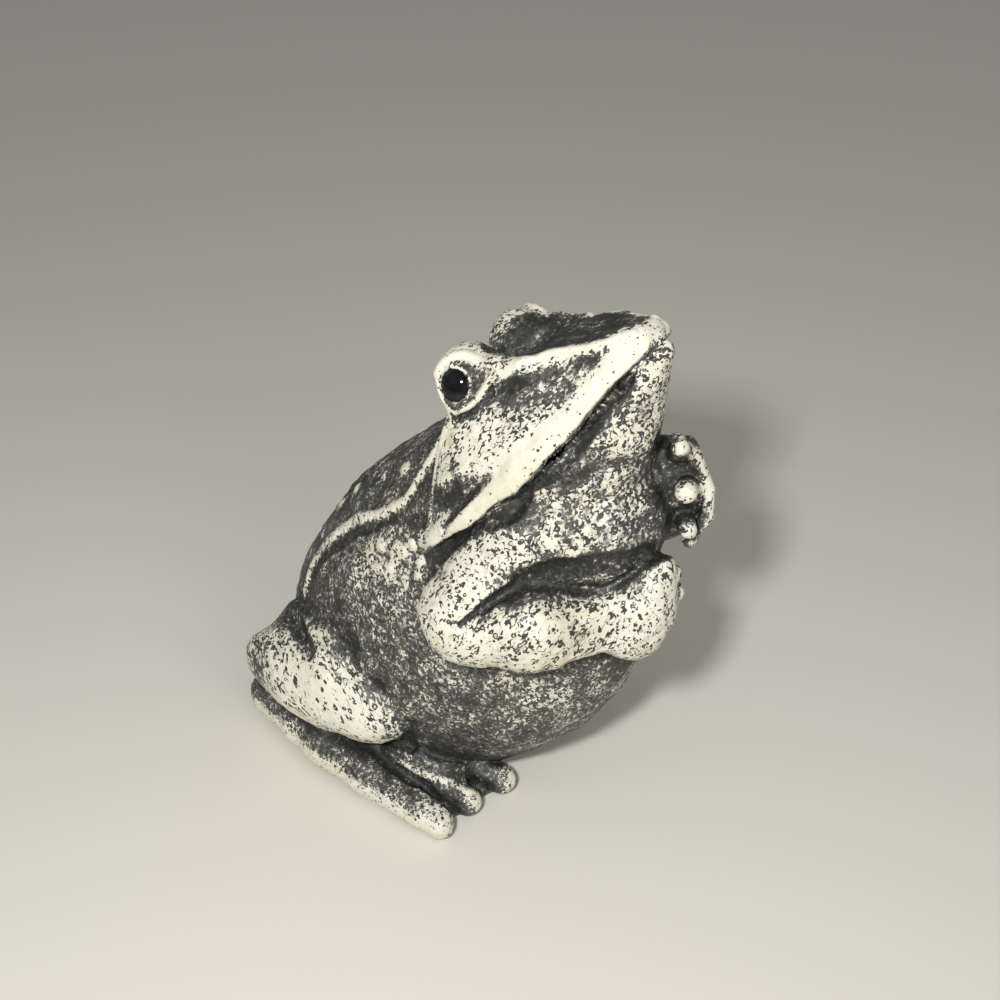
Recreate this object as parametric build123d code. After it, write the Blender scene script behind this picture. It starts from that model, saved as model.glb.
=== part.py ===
from build123d import *
import math
import os

# Seated frog figurine, cast in pale stone-like resin, with glass bead eyes.
# It faces -Y, its right side is -X, and it sits on z = 0 with the origin under its middle.
# Each body mass that a deep crease parts from the next is a casting of its own. It is bedded on
# the larger one with a glue line, so a smaller piece is cut by the larger ones grown by that line.

# Whole figure
glue_line = 0.1
sole_overrun = 20.0

# Torso, a pear on a flat base
torso_width = 33.6
torso_depth = 52.6
torso_height = 54.2
# Each row: height, front, back, width, as shares of the torso's height, depth, depth and width
torso_section_shares = [
    (0.000, -0.152, 0.456, 0.744),
    (0.092, -0.266, 0.527, 0.911),
    (0.221, -0.367, 0.551, 0.988),
    (0.369, -0.430, 0.513, 1.000),
    (0.517, -0.449, 0.428, 0.929),
    (0.627, -0.428, 0.352, 0.810),
    (0.738, -0.380, 0.247, 0.690),
    (0.849, -0.304, 0.124, 0.536),
    (0.941, -0.228, 0.019, 0.375),
    (1.000, -0.175, -0.060, 0.190),
]

# Chest and throat swelling
chest_width = 22.6
chest_depth = 25.2
chest_height = 19.0
chest_place_shares = (0.0, -0.247, 0.784)

# Head and upper jaw, drawn along the mouth line from the jaw corners to the snout
head_length = 36.2
head_width = 25.6
head_height = 12.0
head_pitch = 51.7
jaw_corner_place_shares = (0.0, -0.038, 0.712)
# Each row: distance along the mouth, lip width, crown width, lip level, crown level
head_section_shares = [
    (-0.03, 0.92, 0.70, 0.00, 0.14),
    (0.11, 1.00, 0.70, -0.07, 0.45),
    (0.28, 0.98, 0.64, -0.16, 0.86),
    (0.43, 0.90, 0.54, -0.19, 0.98),
    (0.58, 0.76, 0.47, -0.18, 0.86),
    (0.75, 0.55, 0.39, -0.13, 0.66),
    (0.89, 0.35, 0.27, -0.06, 0.46),
    (0.97, 0.17, 0.13, 0.02, 0.29),
]
lip_corner_share = 0.10
crown_corner_share = 0.30

# Brow swellings over the eyes
brow_width = 8.4
brow_length = 9.8
brow_height = 9.6
brow_place_shares = (0.234, 0.450, 0.783)

# Glass bead eyes
eye_diameter = 6.0
eye_place_shares = (0.309, 0.468, 0.903)

# Lower jaw, hung under the mouth line
jaw_width = 21.0
jaw_depth = 8.6
jaw_drop_share = 0.20
# Each row: distance along the mouth, width, depth below the lip
jaw_section_shares = [
    (0.20, 0.70, 0.25),
    (0.36, 0.88, 0.70),
    (0.54, 0.90, 1.00),
    (0.70, 0.71, 0.92),
    (0.84, 0.48, 0.58),
    (0.955, 0.18, 0.17),
]

# Arms, with places as shares of the torso's width, depth and height
shoulder_thickness = 11.0
elbow_thickness = 10.4
forearm_root_thickness = 9.6
forearm_thickness = 11.0
wrist_thickness = 7.6
shoulder_place_shares = (0.253, -0.228, 0.738)
elbow_place_shares = (0.432, -0.160, 0.620)
right_forearm_place_shares = [(0.425, -0.187, 0.590), (0.360, -0.306, 0.620), (0.155, -0.418, 0.605)]
left_forearm_place_shares = [(0.425, -0.187, 0.598), (0.375, -0.306, 0.700), (0.215, -0.425, 0.775)]

# Hands, each a palm between two knuckle places with fingers running out of it
palm_thickness = 8.6
finger_root_thickness = 4.4
finger_middle_thickness = 3.6
finger_tip_thickness = 3.0
right_palm_place_shares = [(0.070, -0.470, 0.660), (0.064, -0.468, 0.560)]
left_palm_place_shares = [(0.190, -0.422, 0.860), (0.205, -0.412, 0.730)]
# Fingertips, from the top finger down
right_finger_tip_shares = [
    (-0.030, -0.515, 0.690),
    (-0.100, -0.520, 0.625),
    (-0.080, -0.508, 0.550),
]
left_finger_tip_shares = [
    (0.030, -0.525, 0.978),
    (0.045, -0.548, 0.900),
    (0.030, -0.546, 0.823),
    (0.015, -0.530, 0.762),
]

# Legs, folded flat beside the body
hip_thickness = 9.2
thigh_thickness = 8.8
knee_thickness = 7.0
thigh_place_shares = [(0.342, 0.361, 0.277), (0.417, 0.228, 0.295), (0.476, 0.067, 0.221)]
calf_width = 10.8
calf_length = 26.4
calf_height = 12.0
calf_place_shares = (0.485, 0.253, 0.225)

# Feet, flat on the ground
heel_thickness = 7.0
ankle_thickness = 6.6
sole_thickness = 6.0
toe_root_thickness = 5.4
toe_middle_thickness = 4.6
toe_tip_thickness = 3.8
heel_place_shares = (0.455, 0.452, 0.074)
ankle_place_shares = (0.533, 0.228, 0.066)
toe_root_place_shares = [(0.550, 0.090, 0.055), (0.500, 0.120, 0.052), (0.440, 0.105, 0.050)]
toe_tip_place_shares = [(0.574, -0.129, 0.035), (0.396, -0.144, 0.033), (0.232, -0.171, 0.033)]
web_height = 2.2

# Rounded end of a limb: distance past its last station, radius, as shares of that radius
limb_end_shares = [(0.97, 0.24), (0.80, 0.60), (0.45, 0.893)]
steps_per_span = 3

right = -1
left = 1


def torso_point(place_shares, side=left):
    """A place given as shares of the torso's width, depth and height."""
    across, along, up = place_shares
    return Vector(side * across * torso_width, along * torso_depth, up * torso_height)


def head_plane(distance=0):
    """The section plane at a distance along the mouth: local x across, local y up from the lips."""
    pitch = math.radians(head_pitch)
    forward = Vector(0, -math.cos(pitch), math.sin(pitch))
    corner = torso_point(jaw_corner_place_shares)
    return Plane(origin=corner + forward * distance, x_dir=(1, 0, 0), z_dir=forward)


def head_place(place_shares, side=left):
    """A place given as shares of the head's width, length along the mouth and height."""
    across, along, up = place_shares
    plane = head_plane(along * head_length)
    return plane.from_local_coords(Vector(side * across * head_width, up * head_height, 0))


def main_solid(shape):
    """The largest solid of a cut shape, without the crumbs beyond it."""
    return max(shape.solids(), key=lambda solid: solid.volume)


def bedded(shape, *larger):
    """The piece as cast against the larger pieces that it is glued to."""
    for other in larger:
        shape = main_solid(shape - other)
    return shape


def on_the_ground(shape):
    """The piece with its sole cut flat at z = 0."""
    ground = Pos(0, 0, -sole_overrun) * Box(
        torso_depth + sole_overrun,
        torso_depth + sole_overrun,
        sole_overrun,
        align=(Align.CENTER, Align.CENTER, Align.MIN),
    )
    return main_solid(shape - ground)


def ellipsoid(width, depth, height, grow=0):
    """An ellipsoid about the origin, scaled from a unit ball."""
    return scale(Solid.make_sphere(1), by=(width / 2 + grow, depth / 2 + grow, height / 2 + grow))


def smooth_stations(rows):
    """Rows of x, y, z and radius, with a smooth curve's own rows added between them."""
    smooth = []
    for index in range(len(rows) - 1):
        before = rows[max(index - 1, 0)]
        start = rows[index]
        end = rows[index + 1]
        after = rows[min(index + 2, len(rows) - 1)]
        for step in range(steps_per_span):
            part = step / steps_per_span
            row = []
            for a, b, c, d in zip(before, start, end, after):
                square = (2 * a - 5 * b + 4 * c - d) * part**2
                cube = (3 * b - a - 3 * c + d) * part**3
                row.append(b + ((c - a) * part + square + cube) / 2)
            smooth.append(row)
    smooth.append(rows[-1])
    return smooth


def limb(places, thicknesses, grow=0):
    """A limb that swells and tapers through its stations and has rounded ends."""
    rows = [(*place, thickness / 2) for place, thickness in zip(places, thicknesses)]
    smooth = smooth_stations(rows)
    points = [Vector(*row[:3]) for row in smooth]
    radii = [row[3] + grow for row in smooth]
    last = len(points) - 1
    ways = [(points[min(at + 1, last)] - points[max(at - 1, 0)]).normalized() for at in range(last + 1)]
    stations = list(zip(points, ways, radii))
    start = []
    end = []
    for reach, share in limb_end_shares:
        start.append((points[0] - ways[0] * (reach * radii[0]), ways[0], share * radii[0]))
        end.append((points[-1] + ways[-1] * (reach * radii[-1]), ways[-1], share * radii[-1]))
    sections = []
    for point, way, radius in start + stations + end[::-1]:
        sections.append(Plane(origin=point, z_dir=way) * Circle(radius))
    return loft(sections).solid()


def torso(grow=0):
    sections = []
    for height, front, back, width in torso_section_shares:
        middle = (front + back) / 2 * torso_depth
        half_depth = (back - front) / 2 * torso_depth + grow
        half_width = width / 2 * torso_width + grow
        sections.append(Pos(0, middle, height * torso_height) * Ellipse(half_width, half_depth))
    return loft(sections).solid()


def chest(grow=0):
    return Pos(*torso_point(chest_place_shares)) * ellipsoid(chest_width, chest_depth, chest_height, grow)


def head_shell(grow=0):
    """The wedge of the head without its brows, from the jaw corners to the snout."""
    sections = []
    for along, lip_width, crown_width, lip_level, crown_level in head_section_shares:
        lip = lip_width / 2 * head_width + grow
        crown = crown_width / 2 * head_width + grow
        low = lip_level * head_height - grow
        high = crown_level * head_height + grow
        outline = make_face(Polyline((-lip, low), (lip, low), (crown, high), (-crown, high), close=True))
        by_height = outline.vertices().sort_by(Axis.Y)
        outline = fillet(by_height[:2], lip_corner_share * (high - low))
        by_height = outline.vertices().sort_by(Axis.Y)
        rounded = fillet(by_height[-2:], crown_corner_share * min(high - low, crown))
        sections.append(head_plane(along * head_length) * rounded)
    return loft(sections).solid()


def brow(side, grow=0):
    swelling = ellipsoid(brow_width, brow_height, brow_length, grow)
    tilted = head_plane()
    place = head_place(brow_place_shares, side)
    return Plane(origin=place, x_dir=tilted.x_dir, z_dir=tilted.z_dir) * swelling


def head(grow=0):
    return head_shell(grow) + brow(left, grow) + brow(right, grow)


def eye(side, grow=0):
    return Pos(*head_place(eye_place_shares, side)) * Solid.make_sphere(eye_diameter / 2 + grow)


def lower_jaw(grow=0):
    sections = []
    for along, width, depth in jaw_section_shares:
        outline = Ellipse(width / 2 * jaw_width + grow, depth * jaw_depth + grow)
        drop = jaw_drop_share * depth * jaw_depth
        sections.append(head_plane(along * head_length) * Pos(0, -drop) * outline)
    return loft(sections).solid()


def upper_arm(side, grow=0):
    places = [torso_point(shoulder_place_shares, side), torso_point(elbow_place_shares, side)]
    return limb(places, [shoulder_thickness, elbow_thickness], grow)


def forearm(side, grow=0):
    place_shares = right_forearm_place_shares if side == right else left_forearm_place_shares
    places = [torso_point(shares, side) for shares in place_shares]
    return limb(places, [forearm_root_thickness, forearm_thickness, wrist_thickness], grow)


def hand(side):
    """The palm, a short upright limb, with its fingers fanned out along it."""
    palm_place_shares = right_palm_place_shares if side == right else left_palm_place_shares
    tip_shares = right_finger_tip_shares if side == right else left_finger_tip_shares
    top, bottom = [torso_point(shares, side) for shares in palm_place_shares]
    fingers = []
    for index, shares in enumerate(tip_shares):
        root = top + (bottom - top) * (index / (len(tip_shares) - 1))
        tip = torso_point(shares, side)
        places = [root, (root + tip) / 2, tip]
        fingers.append(limb(places, [finger_root_thickness, finger_middle_thickness, finger_tip_thickness]))
    return limb([top, bottom], [palm_thickness, palm_thickness]).fuse(*fingers)


def thigh(side, grow=0):
    places = [torso_point(shares, side) for shares in thigh_place_shares]
    return limb(places, [hip_thickness, thigh_thickness, knee_thickness], grow)


def calf(side, grow=0):
    muscle = ellipsoid(calf_width, calf_length, calf_height, grow)
    return Pos(*torso_point(calf_place_shares, side)) * muscle


def foot(side):
    """The long sole with three toes and the web between them."""
    heel = torso_point(heel_place_shares, side)
    ankle = torso_point(ankle_place_shares, side)
    roots = [torso_point(shares, side) for shares in toe_root_place_shares]
    tips = [torso_point(shares, side) for shares in toe_tip_place_shares]
    sole = [heel_thickness, ankle_thickness, sole_thickness, toe_tip_thickness]
    shape = limb([heel, ankle, roots[0], tips[0]], sole)
    for root, tip in zip(roots[1:], tips[1:]):
        places = [root, (root + tip) / 2, tip]
        shape += limb(places, [toe_root_thickness, toe_middle_thickness, toe_tip_thickness])
    outline = [roots[0], *tips, roots[2]]
    web = make_face(Polyline(*[(point.X, point.Y) for point in outline], close=True))
    shape += extrude(web, web_height)
    return on_the_ground(shape)


def keep(shape, node):
    """Write one piece as parts/NODE.step."""
    export_step(shape, f"parts/{node}.step")


os.makedirs("parts", exist_ok=True)

body = torso()
body_bed = torso(glue_line)
chest_bed = chest(glue_line)
skull = head()
skull_bed = head(glue_line)
jaw_bed = lower_jaw(glue_line)

keep(body, "torso")
for side in (right, left):
    skull = main_solid(skull - eye(side, glue_line))
keep(bedded(skull, body_bed), "head")
keep(bedded(chest(), body_bed, skull_bed), "chest")
keep(bedded(lower_jaw(), skull_bed, body_bed, chest_bed), "lower_jaw")

for side, side_name in ((right, "right"), (left, "left")):
    front = [body_bed, chest_bed, skull_bed, jaw_bed]
    keep(bedded(upper_arm(side), *front), f"{side_name}_upper_arm")
    front.append(upper_arm(side, glue_line))
    keep(bedded(forearm(side), *front), f"{side_name}_forearm")
    front.append(forearm(side, glue_line))
    keep(bedded(hand(side), *front), f"{side_name}_hand")
    keep(bedded(thigh(side), body_bed), f"{side_name}_thigh")
    keep(bedded(calf(side), body_bed, thigh(side, glue_line)), f"{side_name}_calf")
    leg = [body_bed, calf(side, glue_line), thigh(side, glue_line)]
    keep(bedded(foot(side), *leg), f"{side_name}_foot")
    keep(eye(side), f"{side_name}_eye")
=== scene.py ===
import math

import bpy
import numpy as np
from mathutils import Matrix, Vector


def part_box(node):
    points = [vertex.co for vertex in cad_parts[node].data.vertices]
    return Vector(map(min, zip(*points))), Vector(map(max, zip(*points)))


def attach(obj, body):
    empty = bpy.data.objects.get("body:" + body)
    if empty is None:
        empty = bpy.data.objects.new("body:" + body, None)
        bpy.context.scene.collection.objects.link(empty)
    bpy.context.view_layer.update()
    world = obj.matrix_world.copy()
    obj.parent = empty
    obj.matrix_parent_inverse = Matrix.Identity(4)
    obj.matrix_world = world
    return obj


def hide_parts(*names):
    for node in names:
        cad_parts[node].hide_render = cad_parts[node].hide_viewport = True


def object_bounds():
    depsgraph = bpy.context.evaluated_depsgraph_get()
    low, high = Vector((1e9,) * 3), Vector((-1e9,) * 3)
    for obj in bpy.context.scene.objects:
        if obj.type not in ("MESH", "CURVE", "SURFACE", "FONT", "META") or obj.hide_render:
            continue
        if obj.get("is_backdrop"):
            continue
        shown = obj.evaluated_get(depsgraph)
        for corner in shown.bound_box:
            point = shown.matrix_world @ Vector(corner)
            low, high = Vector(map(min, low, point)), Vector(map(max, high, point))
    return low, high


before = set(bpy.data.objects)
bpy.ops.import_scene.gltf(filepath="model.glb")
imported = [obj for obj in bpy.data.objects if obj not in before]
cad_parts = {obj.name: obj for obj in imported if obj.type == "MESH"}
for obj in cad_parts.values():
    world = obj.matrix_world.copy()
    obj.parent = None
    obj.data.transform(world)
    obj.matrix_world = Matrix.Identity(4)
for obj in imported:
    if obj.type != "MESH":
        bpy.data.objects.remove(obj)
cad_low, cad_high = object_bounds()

# Seated frog figurine in pale cast stone with a dark antique wash and black glass bead eyes.
# The sculpt is worked out in millimetres as a distance field, one function for each body mass,
# and each mass becomes a closed mesh that replaces the CAD node of the same name. The frog faces
# -Y, and its right side, at -X, is the side that the camera sees. Tables of body places are for
# that side, and are mirrored to the left unless they say otherwise.

# Scale: the height of the model that the millimetre tables below were drawn for
drawn_height = 67.9
metres = (cad_high.z - cad_low.z) / drawn_height

fineness = {"head": 0.22, "left_hand": 0.22, "right_hand": 0.26}
usual_fineness = 0.32
# A field is worked out on a coarse grid, then in full in a band round its surface
coarse_step = 4
band_share = 1.35

# How softly two forms run into each other, in millimetres
soft = {
    "torso top": 2, "crown": 1.1, "nape": 2.2, "lip": 0.5, "snout": 1.3, "brow": 1.6,
    "brow run": 1.2, "opening": 0.35, "lid": 0.25, "socket": 0.1, "socket edge": 0.12,
    "jaw back": 1, "jaw front": 0.6, "limb": 0.8, "bend": 1.5, "toe": 0.7, "web side": 0.5,
    "web": 0.8, "instep": 1.5, "left palm": 1.5, "left web": 1.2, "left rim": 0.1,
    "left finger": 0.4, "right palm": 2, "right finger": 0.7, "chest": 1.5, "upper arm": 2.4,
    "front": 0.9, "forearm": 1, "hand": 0.9, "leg": 2.4, "hip": 0.8, "foot": 0.6, "head": 0.8,
    "bead seat": 0.05, "mouth": 0.3, "base": 0.3,
}
# What brings a field that rises too fast back to true distances
torso_true = 0.9
cheek_true = 0.9
crown_true = 0.86
jaw_true = 0.85

# Torso: height, front, back, half width
torso_rows = [
    (0, -6.5, 24, 12.5),
    (5, -12.6, 27.6, 15.2),
    (12, -18.4, 29, 16.5),
    (20, -22.2, 27, 16.8),
    (28, -23.6, 22.5, 15.6),
    (34, -22.5, 18.5, 13.6),
    (40, -20, 13, 11.6),
    (46, -16, 6.5, 9),
    (51, -12, 1, 6.3),
    (54.2, -9.2, -3.2, 3.2),
]

# Head places are (across, along the mouth line, up from it), measured from the jaw corner
jaw_corner = np.array([0, -2, 38.6])
head_pitch = math.radians(51.7)
mouth_way = np.array([0, -math.cos(head_pitch), math.sin(head_pitch)])
crown_way = np.array([0, math.sin(head_pitch), math.cos(head_pitch)])
# Distance along the mouth, lip half width, crown half width, crown level, lip level
head_rows = [
    (-3, 11.2, 8.6, -0.4, 0.4),
    (-1, 12, 9, 1.6, 0.1),
    (4, 12.9, 9.2, 5.4, -0.8),
    (10, 12.5, 8.6, 9.2, -1.4),
    (15.5, 11.4, 7.6, 10.4, -1.6),
    (21, 9.5, 7.1, 9.4, -1.3),
    (24.5, 8.1, 6.8, 8.6, -0.9),
    (28.3, 6.3, 5.6, 7.2, -0.3),
    (32, 4.5, 4.4, 5, 0.1),
    (35.5, 2.6, 2.5, 3.5, 0.5),
    (38, 1.6, 1.5, 2.6, 0.7),
]
snout_end = 36.1
cheek_fullness = 1.6
cheek_reach = 1.3
least_rise = 0.5
# Nape, the slanted face behind the skull: its way, a place (along, up) and how far past it it lies
nape_way, nape_place, nape_level = (0.6, 0.8), (-0.5, 1.5), 1
# Lower jaw: distance along the mouth, half width, depth
jaw_rows = [
    (5, 6, 1),
    (8, 7.4, 2.4),
    (13, 8.8, 5.4),
    (19.5, 8.3, 7.5),
    (25.3, 6, 6),
    (30.4, 3.6, 3.5),
    (34.2, 2, 1.7),
    (36, 1, 0.9),
]
jaw_drop_share = 0.24
lip_gap = 0.35
mouth_half_gap = 0.28
mouth_depth = 1.5
mouth_start = 3.0
mouth_past = 1.0

# Brow: a ball that carries the lids. The eye looks out of it along eye_normal
brow_place = np.array([5.2, 15.8, 10.9])
brow_radius = 4.25
eye_normal = np.array([0.917, 0.369, 0.151])
eye_fore = np.array([-0.364, 0.929, -0.06])
eye_up = np.array([-0.163, 0, 0.987])
bead_radius = 2.9
bead_offset = (-0.62, 0.18, 0.99)
socket_level = 3.3
# Outline of the eye opening on the brow's skin: (fore, up), anticlockwise from behind
opening_outline = [
    (-2.9, -2.2), (-0.3, -2.75), (1.8, -2.25), (3.5, -1.05), (3, 0.5), (2.15, 1.85), (1.1, 2.4),
    (-0.4, 2.4), (-1.7, 1.75), (-2.5, 0.6), (-2.95, -0.9),
]
# Lid radii, where one turns into the other, and how far the lids stand out of the brow
upper_lid = 0.68
lower_lid = 0.21
lid_slant = 0.55
lid_start = 0.2
lid_run = 1.6
lid_lift = 0.08
upper_lid_drop = 0.14
# Groove round the lower lid: depth, distance from the opening, half width, reach from the brow
eye_groove = 0.28
groove_place = 0.9
groove_half = 0.35
groove_reach = 1.5
# Bezel where the bead meets the socket: radius, height over the bead's middle, thickness
bead_ring = (1.98, 2.31, 0.13)
ring_soft = 0.12
bead_bite = 0.06
# The brow runs forward into the ridge above the snout
brow_run = [((5, 16, 11), 3.9), ((5.9, 20.8, 9.7), 1.7), ((6.4, 24.4, 8.2), 0.7)]

chest = ((0, -13, 42.5), (11.2, 12.4, 9.4))

upper_arm = [((-8.5, -12, 40), 5.5), ((-14.6, -8.5, 33.4), 5.2)]
forearms = {
    "right_": [((-14.4, -9.8, 32.2), 4.9), ((-12.2, -16.3, 33.7), 5.1), ((-5.2, -22.2, 33), 3.7)],
    "left_": [((-14.3, -9.8, 32.4), 4.8), ((-12.6, -16.1, 37.9), 5.3), ((-7.2, -22.3, 42), 3.8)],
}

right_palm = [
    ((-3.6, -24.4, 32.2), 4.3), ((-2.6, -24.9, 34.6), 4), ((-0.9, -25.9, 39), 2.1),
]
right_fingers = [
    [((-2.6, -25, 36.6), 2.2), ((0.6, -26.9, 37.8), 1.2)],
    [((-1.4, -25.4, 34), 2.2), ((1.8, -26.8, 34.4), 1.3)],
    [((-1.4, -25, 31.4), 2.2), ((1.6, -26, 31), 1.3)],
]
left_palm = [((5.6, -22.2, 49.4), 2.4), ((6.4, -22.4, 45.6), 3.6), ((6, -22, 41), 3)]
left_fingers = [
    [((5.4, -24, 50.6), 1.5), ((1.8, -26, 54), 0.95)],
    [((5.8, -25.4, 46.9), 1.2), ((1.6, -27.3, 48.8), 1.25)],
    [((5.4, -25.2, 42.6), 1.2), ((2.2, -27.7, 43.3), 1.05)],
]
left_web = ((5.9, -24.9, 46.6), (1.6, 2.2, 6.3))
left_rim = [
    ((3.4, -24.6, 53.6), 0.85), ((5.4, -26.2, 51), 0.75), ((6.6, -27.5, 46.6), 0.75),
    ((6.3, -27.8, 43), 0.8), ((4.6, -26.7, 40), 0.9),
]

thigh = [((-11.5, 19, 15), 4.8), ((-14.2, 12, 16.2), 4.6), ((-15.4, 4.6, 12.4), 4.2)]
calf = ((-16.3, 13.3, 12.2), (5.4, 13.1, 5.9))
sole = [
    ((-15.3, 23.8, 4), 3.5),
    ((-17.9, 12, 3.6), 3.3),
    ((-18.7, 4.7, 3), 2.9),
    ((-19.6, -7.9, 2), 2),
]
toes = [
    [((-16.8, 6.3, 3.2), 2.6), ((-15.6, -1, 2.6), 2), ((-14.5, -8.5, 2), 1.9)],
    [((-13.8, 5.5, 3.6), 2.9), ((-10.9, -2.3, 2.8), 2.2), ((-8.7, -9.7, 2), 1.9)],
]
instep = ((-12.7, 2, 3.4), (5.2, 8.8, 4.8))
web_corners = [(-19.4, -7.2), (-9, -9.2), (-13, 9), (-18.6, 9)]
web_height = 1.8
sides = ("right_", "left_")
tiny = 1e-6


def length(vectors):
    return np.sqrt((vectors * vectors).sum(-1))


def smooth_min(a, b, k):
    h = np.clip(0.5 + 0.5 * (b - a) / k, 0, 1)
    return b + (a - b) * h - k * h * (1 - h)


def smooth_max(a, b, k):
    return -smooth_min(-a, -b, k)


def dense(rows, steps=16):
    """Rows joined by smooth curves and read as a finely stepped table."""
    rows = np.array(rows, float)
    key = rows[:, 0]
    slope = np.gradient(rows, key, axis=0)
    found = []
    for i in range(len(rows) - 1):
        span = key[i + 1] - key[i]
        for step in range(steps):
            f = step / steps
            a = 2 * f**3 - 3 * f**2 + 1
            b = f**3 - 2 * f**2 + f
            c = -2 * f**3 + 3 * f**2
            d = f**3 - f**2
            turned = span * (b * slope[i] + d * slope[i + 1])
            found.append(a * rows[i] + c * rows[i + 1] + turned)
    found.append(rows[-1])
    return np.array(found)


torso_table = dense(torso_rows)
head_table = dense(head_rows)
jaw_table = dense(jaw_rows)


def read(table, key):
    return [np.interp(key, table[:, 0], table[:, column]) for column in range(1, table.shape[1])]


def ellipse(x, y, half_x, half_y):
    """Distance from an ellipse in a plane, near enough to true."""
    near = np.sqrt((x / half_x) ** 2 + (y / half_y) ** 2)
    steep = np.sqrt((x / half_x**2) ** 2 + (y / half_y**2) ** 2)
    return near * (near - 1) / np.maximum(steep, tiny)


def outline(x, y, corners, k, found=None):
    """Signed distance from an outline in a plane, its corners anticlockwise and rounded by k."""
    for (x0, y0), (x1, y1) in zip(corners, corners[1:] + corners[:1]):
        past = ((x - x0) * (y1 - y0) - (y - y0) * (x1 - x0)) / math.hypot(x1 - x0, y1 - y0)
        found = past if found is None else smooth_max(found, past, k)
    return found


def ellipsoid(p, place, radii):
    q = p - place
    radii = np.array(radii)
    near = length(q / radii)
    return near * (near - 1) / np.maximum(length(q / radii**2), tiny)


def limb(p, stations, k=soft["limb"]):
    """A limb through its stations, each a place and a radius."""
    found = None
    for (start, r0), (end, r1) in zip(stations, stations[1:]):
        start = np.array(start)
        way = np.array(end) - start
        share = np.clip((p - start) @ way / (way @ way), 0, 1)
        d = length(p - start - share[:, None] * way) - (r0 + (r1 - r0) * share)
        found = d if found is None else smooth_min(found, d, k)
    return found


def mirrored(p):
    """Places with those of the left laid over the right."""
    q = p.copy()
    q[:, 0] = -np.abs(q[:, 0])
    return q


def to_head(p):
    q = p - jaw_corner
    return np.stack([np.abs(p[:, 0]), q @ mouth_way, q @ crown_way], 1)


def from_head(place, side=-1):
    across, along, up = place
    return np.array([side * across, 0, 0]) + jaw_corner + along * mouth_way + up * crown_way


def torso(p):
    front, back, half = read(torso_table, p[:, 2])
    d = ellipse(p[:, 0], p[:, 1] - (front + back) / 2, half, (back - front) / 2) * torso_true
    top = torso_rows[-1][0]
    return smooth_max(d, p[:, 2] - top, soft["torso top"])


def skull(h):
    across, along, up = h.T
    lip, crown, top, low = read(head_table, along)
    share = np.clip((up - low) / np.maximum(top - low, least_rise), 0, cheek_reach)
    side = (across - lip - (crown - lip) * share**cheek_fullness) * cheek_true
    nape = nape_way[1] * (up - nape_place[1]) - nape_way[0] * (along - nape_place[0]) - nape_level
    d = smooth_max(side, (up - top) * crown_true, soft["crown"])
    d = smooth_max(d, nape, soft["nape"])
    d = smooth_max(d, low - up, soft["lip"])
    return smooth_max(d, along - snout_end, soft["snout"])


def eye_frame(h):
    """Places on the brow ball: to the fore and up along its skin from the eye's axis, and out."""
    q = h - brow_place
    away = np.maximum(length(q), tiny)
    fore, up = q @ eye_fore, q @ eye_up
    turn = np.arccos(np.clip(q @ eye_normal / away, -1, 1))
    stretch = turn * brow_radius / np.maximum(np.hypot(fore, up), tiny)
    return fore * stretch, up * stretch, away - brow_radius


def opening(fore, up):
    """Signed distance from the outline of the eye opening, on the brow's skin."""
    return outline(fore, up, opening_outline, soft["opening"])


def lid_turn(fore, up):
    """1 above and in front of the eye, where the lid is thick, and 0 behind and below."""
    turn = np.clip((up + lid_slant * fore - lid_start) / lid_run, 0, 1)
    return turn * turn * (3 - 2 * turn)


def lid_radius(turn):
    return lower_lid + (upper_lid - lower_lid) * turn


def lids(fore, up, out):
    """The raised rim round the eye: thick above and in front, thin behind and below."""
    turn = lid_turn(fore, up)
    radius = lid_radius(turn)
    lift = lid_lift - upper_lid_drop * turn
    return np.hypot(opening(fore, up) - radius, out - lift) - radius


def bead_place():
    fore, up, out = bead_offset
    return brow_place + fore * eye_fore + up * eye_up + out * eye_normal


def bezel(h):
    """Distance from the ring round the bead, and places from the bead's middle."""
    q = h - bead_place()
    depth = q @ eye_normal
    wide = length(q - depth[:, None] * eye_normal)
    return np.hypot(wide - bead_ring[0], depth - bead_ring[1]), q


def head(h):
    fore, up, out = eye_frame(h)
    d = smooth_min(skull(h), out, soft["brow"])
    d = smooth_min(d, limb(h, brow_run), soft["brow run"])
    edge = opening(fore, up)
    groove = eye_groove * np.exp(-((edge - groove_place) / groove_half) ** 2)
    d += groove * (1 - lid_turn(fore, up)) * (np.abs(out) < groove_reach)
    d = smooth_min(d, lids(fore, up, out), soft["lid"])
    level = (h - brow_place) @ eye_normal
    hollow = smooth_max(edge, socket_level - level, soft["socket"])
    d = smooth_max(d, -hollow, soft["socket edge"])
    return smooth_min(d, bezel(h)[0] - bead_ring[2], ring_soft)


def lower_jaw(h):
    across, along, up = h.T
    half, depth = read(jaw_table, along)
    low = read(head_table, along)[3]
    d = ellipse(across, up + jaw_drop_share * depth, half, depth) * jaw_true
    d = smooth_max(d, jaw_rows[0][0] - along, soft["jaw back"])
    d = smooth_max(d, along - jaw_rows[-1][0], soft["jaw front"])
    return smooth_max(d, up - low + lip_gap, soft["lip"])


def foot(q):
    d = limb(q, sole)
    for toe in toes:
        d = smooth_min(d, limb(q, toe), soft["toe"])
    web = outline(q[:, 0], q[:, 1], web_corners, soft["web side"], q[:, 2] - web_height)
    d = smooth_min(d, web, soft["web"])
    return smooth_min(d, ellipsoid(q, *instep), soft["instep"])


def left_hand(p):
    d = limb(p, left_palm, soft["left palm"])
    d = smooth_min(d, ellipsoid(p, *left_web), soft["left web"])
    d = smooth_min(d, limb(p, left_rim, soft["left rim"]), soft["left finger"])
    for finger in left_fingers:
        d = smooth_min(d, limb(p, finger), soft["left finger"])
    return d


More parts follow.
